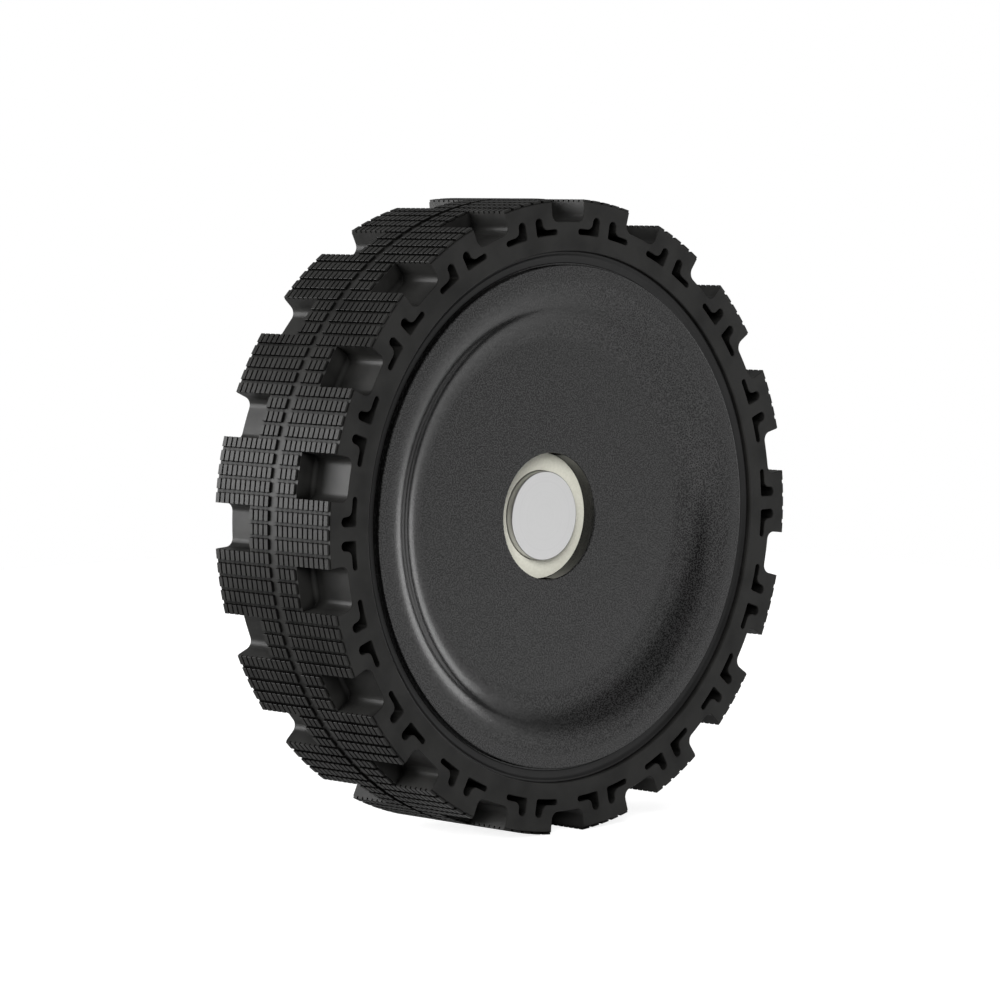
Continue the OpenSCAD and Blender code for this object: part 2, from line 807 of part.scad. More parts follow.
// Rubber gland at the cable's way out
module cable_gland() {
  bore_r = cable_bore_d / 2;
  lip_r = bore_r + gland_lip;
  lip_h = -stub_len - gland_lip;
  color([0.1, 0.1, 0.1]) turned() difference() {
    union() {
      band(bore_r - gland_wall, bore_r - fit, -stub_len, gland_len - stub_len);
      band(bore_r - gland_wall, lip_r, lip_h, -stub_len);
    }
    translate([lip_r, lip_h]) circle(r = bevel, $fn = 4);
  }
}

// Aluminium hub that carries the laminated core
module stator_hub() {
  ring_in = core_bore_d / 2 - hub_ring_t;
  web_rear = collar_front + hub_web_step;
  hole_r = (hub_boss_r + ring_in) / 2;
  key_room = key_w + 2 * fit;
  color([0.6, 0.61, 0.63]) difference() {
    union() {
      turned() band(stator_seat_d / 2 + fit, hub_boss_r, collar_front, collar_front + hub_len);
      turned() band(hub_boss_r - join, ring_in + join, web_rear, web_rear + hub_web_t);
      turned() band(ring_in, core_bore_d / 2 - fit, core_rear, core_front - 2 * hub_web_step);
      at_board_screws(board_front) cylinder(d = board_post_d, h = core_rear - board_front + join);
    }
    upright() round_axis(hub_hole_count, 180 / hub_hole_count)
      translate([0, hole_r, web_rear - cut]) cylinder(d = hub_hole_d, h = hub_web_t + 2 * cut);
    upright() translate([0, stator_seat_d / 2, collar_front + hub_len / 2])
      cube([key_room, key_room, hub_len + cut], center = true);
    at_board_screws(board_front - cut)
      cylinder(d = board_screw_d + 2 * fit, h = cut + board_screw_grip + screw_end_gap);
  }
}

// Copies of an upright shape at the board's three screws
module at_board_screws(h) {
  upright() for (a = board_post_angles) rotate([0, 0, -a]) translate([0, board_screw_r, h])
    children();
}

// Radial bars, one on each tooth
module tooth_bars(w, r0, r1) {
  round_axis(tooth_count) translate([-w / 2, r0]) square([w, r1 - r0]);
}

// Laminated core with its wound teeth and their shoes
module stator_core() {
  color([0.5, 0.51, 0.53]) slab(core_rear, core_front) {
    ring(core_bore_d / 2, yoke_d / 2);
    tooth_bars(tooth_w, yoke_d / 2 - join, shoe_r + join);
    difference() {
      ring(shoe_r, core_r);
      slot_gaps(0);
    }
  }
}

// Radial gaps over the slots, wider than their openings by a clearance on each side
module slot_gaps(clear) {
  gap = slot_open + 2 * clear;
  round_axis(tooth_count, 180 / tooth_count) translate([-gap / 2, shoe_r - cut])
    square([gap, shoe_t + 2 * cut]);
}

// Plastic insulator over one end of the core, with liners that reach to its middle
module insulator(rear) {
  h0 = rear ? core_rear - insulator_t : core_front;
  h1 = h0 + insulator_t;
  flange = insulator_t + coil_end - edge_clear;
  liner_w = tooth_w + 2 * liner_t;
  liner_len = core_len / 2 - liner_gap / 2 + join;
  liner_h = rear ? core_rear - join : core_mid + liner_gap / 2;
  color([0.9, 0.88, 0.8]) {
    slab(h0, h1) {
      ring(core_bore_d / 2 + insulator_inset, yoke_d / 2 + liner_t);
      tooth_bars(liner_w, yoke_d / 2 - join, shoe_r + join);
      difference() {
        ring(shoe_r - liner_t, core_r - edge_clear);
        slot_gaps(slot_clear);
      }
    }
    slab(rear ? h1 - flange : h0, rear ? h1 : h0 + flange) difference() {
      ring(shoe_r + flange_lap - flange_t, shoe_r + flange_lap);
      slot_gaps(insulator_inset);
    }
    slab(liner_h, liner_h + liner_len) difference() {
      tooth_bars(liner_w, coil_in_r - insulator_inset, coil_out_r + insulator_inset);
      tooth_bars(tooth_w + 2 * fit, coil_in_r - cut, coil_out_r + cut);
    }
  }
}

module front_insulator() {
  insulator(false);
}

module rear_insulator() {
  insulator(true);
}

// Closed loop of wire round one tooth, between two radii, as thick as the slot allows at the inner one
module coil_loop(r0, r1) {
  thick = r0 * tan(180 / tooth_count) - (coil_bore_w + coil_gap) / 2;
  bore_len = core_len + 2 * insulator_t + 2 * fit;
  translate([0, r0, core_mid]) rotate([-90, 0, 0]) linear_extrude(r1 - r0) difference() {
    rounded(coil_bore_w + 2 * thick, bore_len + 2 * coil_end, coil_round);
    square([coil_bore_w, bore_len], center = true);
  }
}

// Copper coils on all teeth, thicker where the slots widen
module stator_windings() {
  color([0.72, 0.4, 0.2]) upright() round_axis(tooth_count) {
    coil_loop(coil_in_r, coil_mid_r);
    coil_loop(coil_mid_r, coil_out_r);
  }
}

// Circuit board, screwed to the hub and reaching out to the magnets
module sensor_board() {
  arm_end = core_r - board_head_w + cut;
  color([0.1, 0.35, 0.16]) slab(board_rear, board_front) difference() {
    union() {
      intersection() {
        ring(core_bore_d / 2 - board_foot_in, core_bore_d / 2 + board_foot_out);
        wedge(board_foot_half, tyre_r);
      }
      intersection() {
        ring(core_r - board_head_w, core_r - edge_clear);
        wedge(board_head_half, tyre_r);
      }
      translate([-board_arm_w / 2, core_bore_d / 2])
        square([board_arm_w, arm_end - core_bore_d / 2]);
    }
    for (a = board_post_angles) rotate([0, 0, -a]) translate([0, board_screw_r])
      circle(d = board_screw_d + edge_clear, $fn = small_fn);
  }
}

// Hall sensors standing on the board, next to the magnets' ends
module hall_sensors() {
  color([0.08, 0.08, 0.08]) slab(board_front, magnet_rear - hall_gap) for (a = hall_angles)
    rotate([0, 0, -a]) translate([-hall_size.x / 2, hall_r - hall_size.y / 2]) square(hall_size);
}

// Small pan head screws that hold the board
module board_screws() {
  color([0.72, 0.72, 0.74]) at_board_screws(board_rear) difference() {
    union() {
      translate([0, 0, -board_head_h]) cylinder(r = board_screw_d, h = board_head_h);
      cylinder(d = board_screw_d, h = board_t + board_screw_grip);
    }
    translate([0, 0, -board_head_h - cut])
      cylinder(r = board_socket_r, h = cut + board_socket_h, $fn = 6);
  }
}

tyre();
rim();
flux_ring();
magnets();
front_cover();
rear_cover();
cover_gasket();
cover_screws();
front_seal();
rear_seal();
front_bearing_outer();
rear_bearing_outer();
front_bearing_shields();
rear_bearing_shields();
front_bearing_balls();
front_bearing_cage();
rear_bearing_balls();
rear_bearing_cage();
front_bearing_inner();
rear_bearing_inner();
axle();
axle_cap();
axle_spacer();
axle_key();
cable_gland();
stator_hub();
stator_core();
front_insulator();
rear_insulator();
stator_windings();
sensor_board();
hall_sensors();
board_screws();
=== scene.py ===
# %% [markdown]
# # A wheel hub motor, dressed
# The part is a solid tyre on a dished hub, with the whole motor inside it and a hollow axle
# that leaves at the rear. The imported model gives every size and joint. This script keeps it
# as a fixed frame and puts finer pieces and real finishes around it.
#
# Heights below are measured in millimetres along the spin axis, from the seat of the axle's
# bracket towards the dished front. Angles run clockwise from the top, seen from the front.

# %% Load the frame
import math

import bmesh
import bpy
import numpy as np
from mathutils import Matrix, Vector
from mathutils.geometry import tessellate_polygon


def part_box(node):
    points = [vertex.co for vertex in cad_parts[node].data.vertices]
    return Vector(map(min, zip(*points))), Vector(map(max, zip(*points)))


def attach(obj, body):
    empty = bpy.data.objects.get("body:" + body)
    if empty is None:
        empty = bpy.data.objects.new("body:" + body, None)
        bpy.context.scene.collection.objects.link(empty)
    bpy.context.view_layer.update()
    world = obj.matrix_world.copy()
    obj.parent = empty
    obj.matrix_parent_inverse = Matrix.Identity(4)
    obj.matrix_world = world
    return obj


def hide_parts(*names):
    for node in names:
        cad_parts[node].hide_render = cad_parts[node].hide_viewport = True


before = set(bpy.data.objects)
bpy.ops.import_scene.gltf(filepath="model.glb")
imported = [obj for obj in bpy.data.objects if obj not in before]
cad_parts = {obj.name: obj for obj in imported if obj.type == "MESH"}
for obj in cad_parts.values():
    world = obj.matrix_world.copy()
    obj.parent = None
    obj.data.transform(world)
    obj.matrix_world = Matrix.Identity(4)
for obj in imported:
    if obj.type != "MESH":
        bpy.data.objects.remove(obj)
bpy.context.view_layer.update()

# %% [markdown]
# ## Sizes that the frame knows
# Reading sizes from the frame keeps the pieces on their seats if the CAD model changes.
# `reach` gives a node's greatest radius and `span` gives its two heights.

# %% Measure the nodes
MM = 0.001


def reach(node):
    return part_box(node)[1].z / MM


def span(node):
    low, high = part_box(node)
    return -high.y / MM, -low.y / MM


tyre_r = reach("tyre")
tyre_rear, tyre_front = span("tyre")
tyre_mid = (tyre_rear + tyre_front) / 2
rim_rear, rim_front = span("rim")
cover_r = reach("front_cover")
cover_back, cover_front = span("front_cover")
seal_back, seal_face = span("front_seal")
cap_r = reach("axle_cap")
cap_foot, cap_face = span("axle_cap")
hole_r = reach("front_bearing_outer")
print("tyre radius", round(tyre_r, 2), "from", round(tyre_rear, 2), "to", round(tyre_front, 2))
print("cover radius", round(cover_r, 2), "front at", round(cover_front, 2))

# %% [markdown]
# ## Small tools for shapes
# Most pieces here are either turned about the axis or repeated round it. Both can be made
# with Blender's Spin and Array tools, but plain lists of faces are shorter and exact, so
# each piece is a list of polygons that is welded into one mesh at the end.

# %% Points, loops and turned shapes
WELD = 0.002
TURN_STEPS = 240


def on_wheel(r, angle, h):
    a = math.radians(angle)
    return (r * math.sin(a), -h, r * math.cos(a))


def arc(centre, r, start, end, steps):
    """Points of an arc, with its angles in degrees from the first axis."""
    angles = np.radians(np.linspace(start, end, steps + 1))
    return [(centre[0] + r * math.cos(a), centre[1] + r * math.sin(a)) for a in angles]


def rounded_loop(corners, steps=4):
    """Closed loop through corners (x, y, radius), with each corner rounded."""
    loop = []
    for i, (x, y, radius) in enumerate(corners):
        here = Vector((x, y))
        if radius == 0:
            loop.append((x, y))
            continue
        back = (Vector(corners[i - 1][:2]) - here).normalized()
        ahead = (Vector(corners[(i + 1) % len(corners)][:2]) - here).normalized()
        half = back.angle(ahead) / 2
        centre = here + (back + ahead).normalized() * radius / math.sin(half)
        start = here + back * radius / math.tan(half) - centre
        first = math.atan2(start.y, start.x)
        turn = math.copysign(math.pi - 2 * half, back.x * ahead.y - back.y * ahead.x)
        for k in range(steps + 1):
            a = first - turn * k / steps
            loop.append((centre.x + radius * math.cos(a), centre.y + radius * math.sin(a)))
    return loop


def offset_loop(loop, distance):
    """Closed loop moved to the right of its own direction."""
    p = np.array(loop, float)
    ahead = np.roll(p, -1, axis=0) - p
    ahead /= np.linalg.norm(ahead, axis=1)[:, None]
    right = np.stack([ahead[:, 1], -ahead[:, 0]], axis=1)
    before = np.roll(right, 1, axis=0)
    mitre = (right + before) / (1 + (right * before).sum(axis=1))[:, None]
    return [tuple(q) for q in p + distance * mitre]


def turned(profile, steps=TURN_STEPS):
    """Polygons of a closed profile of (radius, height) points turned round the spin axis."""
    rings = [[on_wheel(r, 360 * k / steps, h) for k in range(steps)] for r, h in profile]
    return [
        [rings[i - 1][k - 1], rings[i - 1][k], ring[k], ring[k - 1]]
        for i, ring in enumerate(rings)
        if profile[i - 1][0] + profile[i][0] > 0
        for k in range(steps)
    ]


def repeated(polygons, count, first=0.0):
    """Copies of polygons turned clockwise round the spin axis."""
    copies = []
    for k in range(count):
        a = math.radians(first + k * 360 / count)
        c, s = math.cos(a), math.sin(a)
        copies += [[(x * c + z * s, y, z * c - x * s) for x, y, z in face] for face in polygons]
    return copies


def flipped(polygons, mid):
    """Polygons mirrored along the spin axis about a height."""
    return [[(x, -2 * mid - y, z) for x, y, z in face] for face in polygons]


# %% [markdown]
# ## From polygons to a piece
# Welding joins the corners that meet, so that light runs smoothly over neighbouring faces.
# Edges sharper than the limit stay crisp, and a weighted normal modifier keeps large flat
# faces flat in the light. A closed piece has no open edges, so their number is printed.

# %% Make a piece that rides on a body
SHARP = 32


def make_piece(name, polygons, material, body, replaces=(), sharp=SHARP):
    mesh = bpy.data.meshes.new(name)
    points, faces = [], []
    for face in polygons:
        faces.append(range(len(points), len(points) + len(face)))
        points += face
    mesh.from_pydata((np.array(points) * MM).tolist(), [], faces)
    bm = bmesh.new()
    bm.from_mesh(mesh)
    bmesh.ops.remove_doubles(bm, verts=bm.verts, dist=WELD * MM)
    bmesh.ops.recalc_face_normals(bm, faces=bm.faces)
    open_edges = sum(1 for e in bm.edges if len(e.link_faces) != 2)
    bm.to_mesh(mesh)
    bm.free()
    mesh.shade_smooth()
    mesh.set_sharp_from_angle(angle=math.radians(sharp))
    mesh.materials.append(material)
    piece = bpy.data.objects.new(name, mesh)
    bpy.context.scene.collection.objects.link(piece)
    flats = piece.modifiers.new("flats_stay_flat", "WEIGHTED_NORMAL")
    flats.keep_sharp = True
    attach(piece, body)
    if replaces:
        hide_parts(*replaces)
    print(name, len(mesh.polygons), "faces,", open_edges, "open edges")
    return piece


# %% [markdown]
# ## Finishes
# Every finish starts from one shader whose even values sit on its own sockets. Grain and
# turning marks could come from pictures, but noise in the piece's own coordinates has no
# seams, needs no unwrapping and turns with the wheel.
#
# Two helpers work at a scale too small to model. Narrow gaps see little light, and the first
# helper paints shade into them: it measures how close other surfaces stand, and the colour
# and gloss are made darker where they stand close. A grained coat loses its gloss where it
# turns away, because its grains hide behind each other, and `facing_share` gives that.

# %% Shader helpers
def finish_of(name, colour, roughness, metallic=0.0, specular=0.5):
    material = bpy.data.materials.new(name)
    material.use_nodes = True
    shader = material.node_tree.nodes["Principled BSDF"]
    shader.inputs["Base Color"].default_value = (*colour, 1)
    shader.inputs["Roughness"].default_value = roughness
    shader.inputs["Metallic"].default_value = metallic
    shader.inputs["Specular IOR Level"].default_value = specular
    return material


def add_node(material, kind, **values):
    node = material.node_tree.nodes.new(kind)
    for key, value in values.items():
        if key in node.inputs:
            node.inputs[key].default_value = value
        else:
            setattr(node, key, value)
    return node


def link(material, out, into):
    material.node_tree.links.new(out, into)


def place(material):
    return add_node(material, "ShaderNodeTexCoord").outputs["Object"]


def noise(material, grains_per_mm, detail=2.0, roughness=0.5):
    node = add_node(material, "ShaderNodeTexNoise")
    node.inputs["Scale"].default_value = grains_per_mm / MM
    node.inputs["Detail"].default_value = detail
    node.inputs["Roughness"].default_value = roughness
    link(material, place(material), node.inputs["Vector"])
    return node.outputs["Fac"]


def ramp(material, value, dark, light, low=0.3, high=0.7):
    node = add_node(material, "ShaderNodeValToRGB")
    node.color_ramp.elements[0].position = low
    node.color_ramp.elements[1].position = high
    node.color_ramp.elements[0].color = (*dark, 1)
    node.color_ramp.elements[1].color = (*light, 1)
    link(material, value, node.inputs["Fac"])
    return node.outputs["Color"]


def spread(material, value, low, high):
    node = add_node(material, "ShaderNodeMapRange")
    node.inputs["To Min"].default_value = low
    node.inputs["To Max"].default_value = high
    link(material, value, node.inputs["Value"])
    return node.outputs["Result"]


def bump(material, height, depth_mm, strength=1.0, before=None):
    node = add_node(material, "ShaderNodeBump")
    node.inputs["Strength"].default_value = strength
    node.inputs["Distance"].default_value = depth_mm * MM
    link(material, height, node.inputs["Height"])
    if before:
        link(material, before, node.inputs["Normal"])
    return node.outputs["Normal"]


def shader_in(material, socket, value):
    link(material, value, material.node_tree.nodes["Principled BSDF"].inputs[socket])


# %% Painted shade in gaps, and surfaces that turn away
def product(material, a, b):
    node = add_node(material, "ShaderNodeMath", operation="MULTIPLY")
    link(material, a, node.inputs[0])
    link(material, b, node.inputs[1])
    return node.outputs[0]


def painted_gap_shade(material, reach_mm, closed, open_value):
    """A value that falls where other surfaces stand close, as in gaps and holes, for painted
    shade.
    """
    node = add_node(material, "ShaderNodeAmbientOcclusion")
    node.samples = 8
    node.inputs["Distance"].default_value = reach_mm * MM
    value = add_node(material, "ShaderNodeMapRange")
    value.inputs["From Min"].default_value = 0.5
    value.inputs["From Max"].default_value = 0.8
    value.inputs["To Min"].default_value = closed
    value.inputs["To Max"].default_value = open_value
    link(material, node.outputs["AO"], value.inputs["Value"])
    return value.outputs["Result"]


def facing_share(material, start, end):
    """A value that falls as the surface turns away, where grains hide behind each other."""
    node = add_node(material, "ShaderNodeLayerWeight")
    value = add_node(material, "ShaderNodeMapRange")
    value.inputs["From Min"].default_value = start
    value.inputs["From Max"].default_value = end
    value.inputs["To Min"].default_value = 1
    value.inputs["To Max"].default_value = 0
    link(material, node.outputs["Facing"], value.inputs["Value"])
    return value.outputs["Result"]


# %% [markdown]
# ## Rubber and paints
# The tyre is matt black rubber with hardly any gloss, and painted shade darkens its colour and
# gloss in gaps and holes. The covers wear a grained black coat, which is a layer of fine glossy
# lumps: small cells give its height, and a speckle gives its colour and its gloss together, with
# painted shade in its hollows. The rim's coat is the same black without the grain.

# %% Rubber, grained coat and smooth coat
coat_cells_per_mm = 2.4
coat_speckles_per_mm = 3.0


def moulded_rubber():
    m = finish_of("moulded_rubber", (0.015, 0.015, 0.0145), 0.42, specular=0.12)
    # The colour takes a slow random tone, and painted shade darkens it in gaps and holes.
    cloud_and_gap_shade = product(m, noise(m, 0.12, 3), painted_gap_shade(m, 3, 0.3, 1.0))
    black = ramp(m, cloud_and_gap_shade, (0.001, 0.001, 0.001), (0.018, 0.0178, 0.017), 0.05, 0.6)
    shader_in(m, "Base Color", black)
    shader_in(m, "Roughness", spread(m, noise(m, 0.6), 0.38, 0.46))
    shader_in(m, "Normal", bump(m, noise(m, 5, 2), 0.012))
    # Painted shade: the gloss dims in gaps and holes too.
    shader_in(m, "Specular IOR Level", painted_gap_shade(m, 3, 0.0, 0.13))
    return m


def grained_coat():
    m = finish_of("grained_coat", (0.012, 0.012, 0.012), 0.25, specular=0.4)
    cell = add_node(m, "ShaderNodeTexVoronoi")
    cell.inputs["Scale"].default_value = coat_cells_per_mm / MM
    link(m, place(m), cell.inputs["Vector"])
    coarse = bump(m, cell.outputs["Distance"], 0.012)
    shader_in(m, "Normal", bump(m, noise(m, 4, 3), 0.006, before=coarse))
    shader_in(m, "Roughness", spread(m, noise(m, 1.5), 0.15, 0.2))
    # Painted shade darkens the speckle in hollows, such as the cover's hole; it sets colour and
    # gloss.
    speckle_and_gap_shade = product(m, noise(m, coat_speckles_per_mm, 1), painted_gap_shade(m, 6, 0.75, 1.0))
    black = ramp(m, speckle_and_gap_shade, (0.001, 0.001, 0.001), (0.018, 0.018, 0.018), 0.42, 0.58)
    shader_in(m, "Base Color", black)
    gloss = product(m, spread(m, speckle_and_gap_shade, 0.1, 0.68), facing_share(m, 0.67, 0.84))
    shader_in(m, "Specular IOR Level", gloss)
    return m


def smooth_coat():
    m = finish_of("smooth_coat", (0.011, 0.011, 0.011), 0.35, specular=0.2)
    black = ramp(m, noise(m, 0.1, 2), (0.009, 0.009, 0.009), (0.013, 0.013, 0.013))
    shader_in(m, "Base Color", black)
    shader_in(m, "Normal", bump(m, noise(m, 3, 2), 0.006))
    return m


# %% [markdown]
# ## Metals, plastics and copper
# A lathe leaves rings about the axis on the cap, the axle and the bearings. Brushed marks
# could be faked by stretching a noise, but a noise of the distance from the axis gives true
# rings at any radius. The cast and pressed pieces only need an even grain.

# %% Turned and cast finishes
def turned_metal(name, dark, light, roughness, marks=9.0, depth=0.002):
    """Metal with fine rings about the spin axis, as a lathe leaves them."""
    m = finish_of(name, light, roughness, metallic=1.0)
    split = add_node(m, "ShaderNodeSeparateXYZ")
    link(m, place(m), split.inputs["Vector"])
    flat = add_node(m, "ShaderNodeCombineXYZ")
    link(m, split.outputs["X"], flat.inputs["X"])
    link(m, split.outputs["Z"], flat.inputs["Y"])
    length = add_node(m, "ShaderNodeVectorMath", operation="LENGTH")
    link(m, flat.outputs["Vector"], length.inputs[0])
    line = add_node(m, "ShaderNodeCombineXYZ")
    link(m, length.outputs["Value"], line.inputs["X"])
    link(m, split.outputs["Y"], line.inputs["Y"])
    rings = add_node(m, "ShaderNodeTexNoise")
    rings.inputs["Scale"].default_value = marks / MM
    rings.inputs["Detail"].default_value = 3
    link(m, line.outputs["Vector"], rings.inputs["Vector"])
    shader_in(m, "Normal", bump(m, rings.outputs["Fac"], depth))
    shader_in(m, "Base Color", ramp(m, rings.outputs["Fac"], dark, light))
    shader_in(m, "Roughness", spread(m, noise(m, 0.5), roughness - 0.05, roughness + 0.08))
    return m


def cast_metal(name, dark, light, roughness, grain=1.5, depth=0.02, metallic=1.0):
    """Metal or plastic with an even grain."""
    m = finish_of(name, light, roughness, metallic=metallic)
    shader_in(m, "Base Color", ramp(m, noise(m, grain, 3), dark, light))
    shader_in(m, "Roughness", spread(m, noise(m, grain / 2), roughness - 0.06, roughness + 0.08))
    shader_in(m, "Normal", bump(m, noise(m, grain * 2, 2), depth))
    return m


def cast_plastic(name, dark, light, roughness, depth=0.02):
    return cast_metal(name, dark, light, roughness, depth=depth, metallic=0.0)


rubber = moulded_rubber()
grained = grained_coat()
smooth = smooth_coat()
cap_metal = turned_metal("cap_metal", (0.53, 0.53, 0.53), (0.59, 0.59, 0.59), 0.3)
axle_steel = turned_metal("axle_steel", (0.48, 0.49, 0.5), (0.6, 0.61, 0.62), 0.32, marks=5)
bearing_steel = turned_metal("bearing_steel", (0.6, 0.61, 0.63), (0.7, 0.71, 0.73), 0.2)
magnet_plate = cast_metal("magnet_plate", (0.5, 0.5, 0.52), (0.62, 0.62, 0.64), 0.25, depth=0.004)
core_steel = cast_metal("core_steel", (0.2, 0.21, 0.23), (0.3, 0.31, 0.33), 0.45, depth=0.01)
hub_metal = cast_metal("hub_metal", (0.5, 0.51, 0.52), (0.62, 0.63, 0.64), 0.4)
coil_copper = cast_metal("coil_copper", (0.5, 0.18, 0.06), (0.68, 0.28, 0.1), 0.28, depth=0.02)
cage_brass = cast_metal("cage_brass", (0.52, 0.38, 0.14), (0.64, 0.5, 0.2), 0.3, depth=0.004)
ivory = cast_plastic("ivory", (0.78, 0.77, 0.66), (0.86, 0.85, 0.74), 0.5, 0.006)
board_green = cast_plastic("board_green", (0.015, 0.12, 0.045), (0.02, 0.17, 0.06), 0.3)
sensor_black = cast_plastic("sensor_black", (0.012, 0.012, 0.012), (0.02, 0.02, 0.02), 0.5)
seal_black = cast_plastic("seal_black", (0.012, 0.012, 0.012), (0.018, 0.018, 0.018), 0.5)
print("materials in the file:", len(bpy.data.materials))

# %% [markdown]
# ## Dress the CAD nodes
# The motor's inner pieces and its rear keep their CAD solids, because they are machined
# shapes that the CAD already gives. Each one only takes its real finish. The tyre, rim, front
# cover, seal and cap get finer pieces further down, and their nodes are dressed to match.

# %% Finish for each node
node_finish = {
    "rim": smooth,
    "flux_ring": axle_steel,
    "magnets": magnet_plate,
    "rear_cover": grained,
    "cover_gasket": seal_black,
    "cover_screws": axle_steel,
    "front_seal": ivory,
    "rear_seal": seal_black,
    "front_bearing_outer": bearing_steel,
    "rear_bearing_outer": bearing_steel,
    "front_bearing_shields": bearing_steel,
    "rear_bearing_shields": bearing_steel,
    "front_bearing_balls": bearing_steel,
    "rear_bearing_balls": bearing_steel,
    "front_bearing_cage": cage_brass,
    "rear_bearing_cage": cage_brass,
    "front_bearing_inner": bearing_steel,
    "rear_bearing_inner": bearing_steel,
    "axle": axle_steel,
    "axle_cap": cap_metal,
    "axle_spacer": axle_steel,
    "axle_key": axle_steel,
    "cable_gland": seal_black,
    "stator_hub": hub_metal,
    "stator_core": core_steel,
    "front_insulator": ivory,
    "rear_insulator": ivory,
    "stator_windings": coil_copper,
    "sensor_board": board_green,
    "hall_sensors": sensor_black,
    "board_screws": axle_steel,
    "front_cover": grained,
    "tyre": rubber,
}
for name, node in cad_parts.items():
    node.data.materials.clear()
    node.data.materials.append(node_finish[name])
print(len(node_finish), "nodes dressed")

# %% [markdown]
# ## Soft edges at the rear
# Real edges are never quite sharp, and a fine bevel catches the light as they do. It could be
# modelled into each mesh, but as a modifier it leaves the CAD mesh itself as it is.

# %% Bevel the pieces that show at the rear
edge_bevel = 0.25
bevel_limit = 40
for name in ("rear_cover", "cover_screws", "axle", "axle_spacer", "cable_gland"):
    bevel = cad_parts[name].modifiers.new("soft_edges", "BEVEL")
    bevel.width = edge_bevel * MM
    bevel.segments = 2
    bevel.limit_method = "ANGLE"
    bevel.angle_limit = math.radians(bevel_limit)
    bevel.use_clamp_overlap = True
print("bevel of", edge_bevel, "mm at the rear")

# %% [markdown]
# ## The tyre's plan
# The tread is a grid of small blocks. Eight rows of them make one step of the pattern: five
# stand on a lug, and the outer part of the other three is cut away as a pocket. So one lug
# and half of each neighbouring pocket is modelled once, from the sidewall to the middle of
# the tread, then repeated round the wheel and mirrored to the rear half a step on.

# %% Sizes of the tread pattern
lug_count = 18
lug_rows = 5
rows_per_lug = 8
row_step = 360 / lug_count / rows_per_lug
block_h = 0.6
block_half = 0.9
block_w = 1.28
block_pitch = 1.73
block_columns = 11
pocket_columns = 7
block_edge = 0.05
foot_r = tyre_r - block_h
pocket_len = 12.05
pocket_depth = 4.8
pocket_round = 2.0
inner_round = 1.0
mould_edge = 0.14
floor_r = foot_r - pocket_depth
half_width = tyre_mid - tyre_rear
lug_half = (lug_rows - 1) / 2 * row_step + block_half
pocket_mid = 180 / lug_count
first_block = pocket_len - (pocket_columns - 1) * block_pitch - block_w
depth_lines = [mould_edge]
for column in range(block_columns):
    near = first_block + column * block_pitch
    depth_lines += [near, near + block_w]
depth_lines.append(half_width)
print("half of a lug spans", lug_half, "degrees")
print("the first block stands", round(first_block, 2), "mm behind the sidewall")


def in_tyre(r, angle, depth):
    """Point of the tyre's front half at a depth below its sidewall."""
    return on_wheel(r, angle, tyre_front - depth)


# %% [markdown]
# ## Blocks and the tread between them
# A block is a low box with chamfered edges. It could be a separate object arrayed round the
# wheel, but growing it from a cell of the tread's grid gives one watertight skin, with the
# outer rows flush with the lug's sides as on the real moulding.

# %% One block, and one lug's tread
def block(start, end, near, far):
    rings = []
    for r, inset in ((foot_r, 0), (tyre_r - block_edge, 0), (tyre_r, block_edge)):
        turn = math.degrees(inset / tyre_r)
        first, last = start + turn, end - turn
        front, rear = near + inset, far - inset
        corners = ((first, front), (last, front), (last, rear), (first, rear))
        rings.append([in_tyre(r, a, depth) for a, depth in corners])
    sides = [
        [low[k - 1], low[k], high[k], high[k - 1]]
        for low, high in zip(rings, rings[1:])
        for k in range(4)
    ]
    return [*sides, rings[-1]]


def wall_top_angles(start, end):
    """Angles at which the inner wall of a pocket beside the lug has corners."""
    behind = [a - 2 * pocket_mid for a in pocket_angles]
    return [a for a in behind + pocket_angles if start < a < end]


def lug_tread():
    faces = []
    for row in range(-3, 5):
        middle = row * row_step
        for start, end, has_blocks in (
            (middle - block_half, middle + block_half, True),
            (middle + block_half, middle + row_step - block_half, False),
        ):
            on_lug = max(abs(start), abs(end)) < lug_half + 0.01
            behind_pocket = [pocket_len, *depth_lines[2 * pocket_columns + 1 :]]
            lines = depth_lines if on_lug else behind_pocket
            for i, (near, far) in enumerate(zip(lines, lines[1:])):
                is_column = i % 2 == 1 and i < len(lines) - 2
                if has_blocks and is_column:
                    faces += block(start, end, near, far)
                    continue
                near_edge = [start, end]
                if i == 0 and not on_lug:
                    near_edge = [start, *wall_top_angles(start, end), end]
                cell = [in_tyre(foot_r, a, near) for a in near_edge]
                cell += [in_tyre(foot_r, a, far) for a in (end, start)]
                faces.append(cell)
    return faces


# %% [markdown]
# ## Pockets between the lugs
# The pocket's sides stand along the radius and run into its floor by a wide rounding, and the
# floor runs into the inner wall by a smaller one. A ray from the axis meets the rounding at a
# radius that a formula gives, so the same list of angles serves the floor, the inner wall and
# the tread above it.

# %% Angles across one pocket, and its surface
side_steps = 8
wall_steps = 6
round_r = floor_r + pocket_round
round_angle = math.degrees(math.asin(pocket_round / round_r))


def pocket_r(angle):
    """Radius of the pocket's profile at an angle from the lug's middle."""
    off = lug_half + round_angle - min(angle, 2 * pocket_mid - angle)
    if off <= 0:
        return floor_r
    side = round_r * math.sin(math.radians(off))
    return round_r * math.cos(math.radians(off)) - math.sqrt(max(pocket_round**2 - side**2, 0))


half_angles = []
for k in range(side_steps + 1):
    side = pocket_round * math.cos(math.radians(90 * k / side_steps))
    half_angles.append(lug_half + round_angle - math.degrees(math.asin(side / round_r)))
row_edges = [row * row_step + side * block_half for row in (3, 4) for side in (-1, 1)]
half_angles += [a for a in (*row_edges, pocket_mid) if a <= pocket_mid]
half_angles = sorted({round(a, 6) for a in half_angles})
pocket_angles = half_angles + [2 * pocket_mid - a for a in reversed(half_angles[:-1])]
print(len(pocket_angles), "angles across a pocket, floor radius", round(floor_r, 2))


